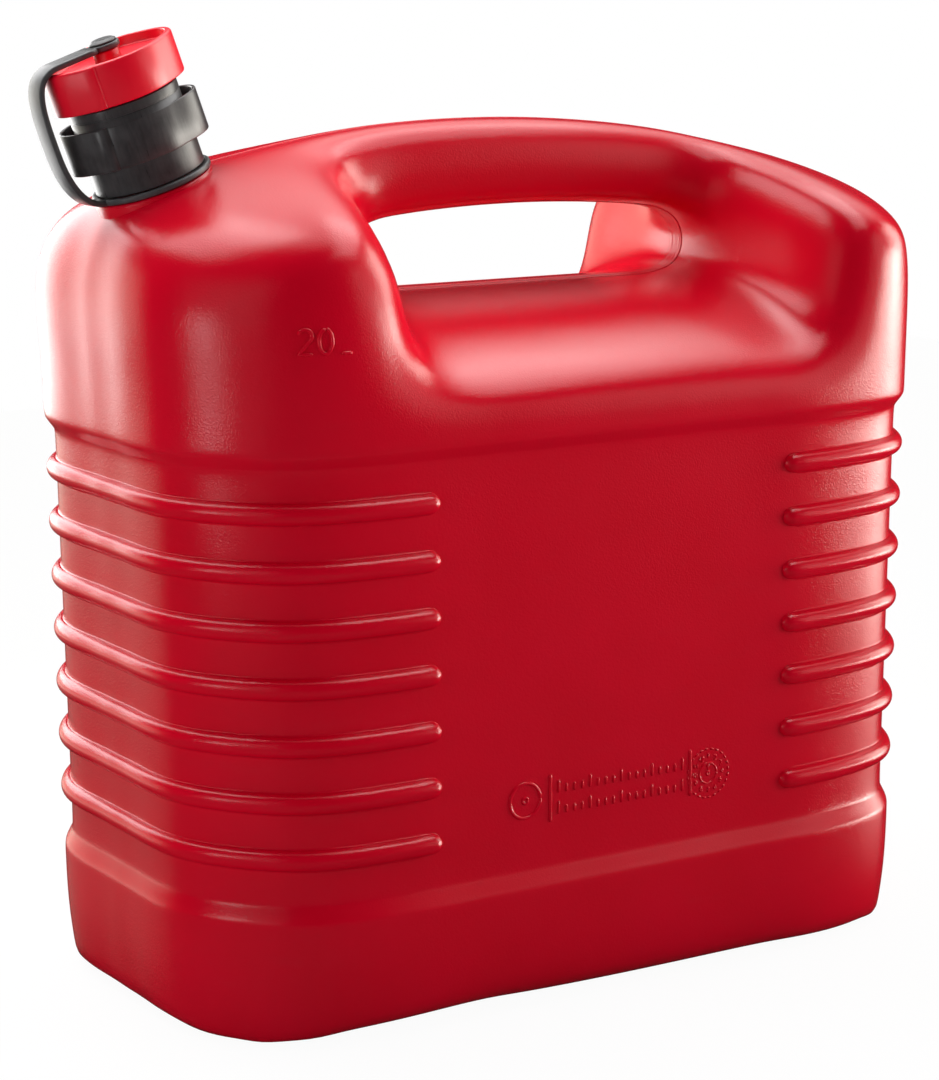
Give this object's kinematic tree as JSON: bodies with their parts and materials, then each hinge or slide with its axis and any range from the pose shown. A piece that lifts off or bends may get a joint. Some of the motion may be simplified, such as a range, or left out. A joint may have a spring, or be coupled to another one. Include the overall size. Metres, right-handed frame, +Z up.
{
  "type": "plastic jerrycan",
  "caption": "Rectangular fuel can with rounded ends, hollow carrying handle, end ribs, and a tilted neck with winged collar, stored pouring spout, strapped screw cap and seals.",
  "frame": {"origin": "middle of the underside of the can, on the surface it stands on", "axes": "+Z up; X along the can, with the filler neck at the -X end; Y across it, with the mould parting plane at Y = 0"},
  "size_m": [0.4002, 0.2164, 0.4063],
  "materials": {
    "red_moulded_plastic": "blow-moulded polyethylene with a fine grain, semi-matt",
    "neck_seal_rubber": "smooth black rubber",
    "spout_plastic": "smooth flexible plastic",
    "grey_nut_plastic": "injection-moulded, satin",
    "cap_seal_rubber": "smooth black rubber",
    "red_cap_plastic": "injection-moulded, semi-gloss",
    "grey_strap_plastic": "flexible plastic, satin",
    "rivet_plastic": "injection-moulded, satin"
  },
  "bodies": {
    "can": {"can_body": "red_moulded_plastic"},
    "insert": {"pouring_spout": "spout_plastic", "neck_seal": "neck_seal_rubber", "cap_strap": "grey_strap_plastic"},
    "nut": {"collar_nut": "grey_nut_plastic"},
    "cap_lift": {"cap_seal": "cap_seal_rubber"},
    "cap": {"closing_cap": "red_cap_plastic"},
    "swivel": {"strap_rivet": "rivet_plastic"}
  },
  "joints": [
    {"name": "insert_lift", "type": "slide", "parent": "can", "child": "insert", "axis": [-0.342, 0, 0.9397], "range_m": [0, 0.01201]},
    {"name": "collar_turn", "type": "hinge", "parent": "insert", "child": "nut", "pos_m": [-0.1606, 0, 0.3463], "axis": [-0.342, 0, 0.9397], "range_deg": [0, 720]},
    {"name": "cap_rise", "type": "slide", "parent": "nut", "child": "cap_lift", "axis": [-0.342, 0, 0.9397], "range_m": [0, 0.01001]},
    {"name": "cap_turn", "type": "hinge", "parent": "cap_lift", "child": "cap", "pos_m": [-0.1606, 0, 0.3463], "axis": [-0.342, 0, 0.9397], "range_deg": [0, 720]},
    {"name": "rivet_rise", "type": "slide", "parent": "insert", "child": "swivel", "axis": [-0.342, 0, 0.9397], "range_m": [0, 0.01001], "deforming": ["cap_strap"]}
  ],
  "couplings": [
    {"joint": "insert_lift", "follows": "collar_turn", "m_per_rad": 0.00095493},
    {"joint": "cap_rise", "follows": "cap_turn", "m_per_rad": 0.00079577},
    {"joint": "rivet_rise", "follows": "cap_turn", "m_per_rad": 0.00079577}
  ]
}
